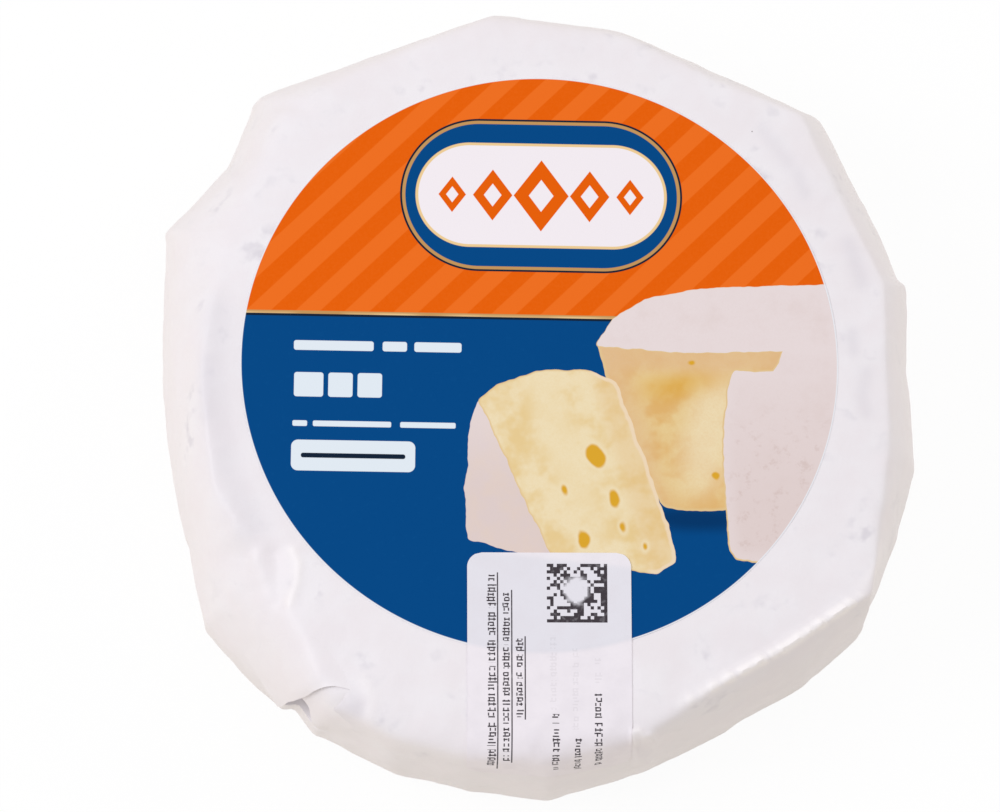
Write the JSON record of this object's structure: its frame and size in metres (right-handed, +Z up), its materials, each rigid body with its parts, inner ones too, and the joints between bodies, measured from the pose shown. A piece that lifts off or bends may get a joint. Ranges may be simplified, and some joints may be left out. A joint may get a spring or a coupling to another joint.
{
  "type": "small brie wheel in a paper wrapper",
  "caption": "Low round soft cheese folded into white paper, with a round printed label on its flat top and a date sticker that turns over the rim",
  "frame": {"origin": "middle of the base, on the surface that the wheel stands on", "axes": "+Z up through the label; +Y towards the top edge of the label's print; +X to the right of the print; the date sticker turns down the wall at -Y"},
  "size_m": [0.0934, 0.0987, 0.0243],
  "materials": {
    "white_paper": "satin greaseproof paper with soft creases",
    "label_print": "smooth printed paper in orange and blue fields",
    "sticker_paper": "thin matt thermal paper with small dark print"
  },
  "bodies": {
    "root": {"wrapped_cheese": "white_paper", "round_label": "label_print", "date_sticker": "sticker_paper"}
  },
  "joints": []
}
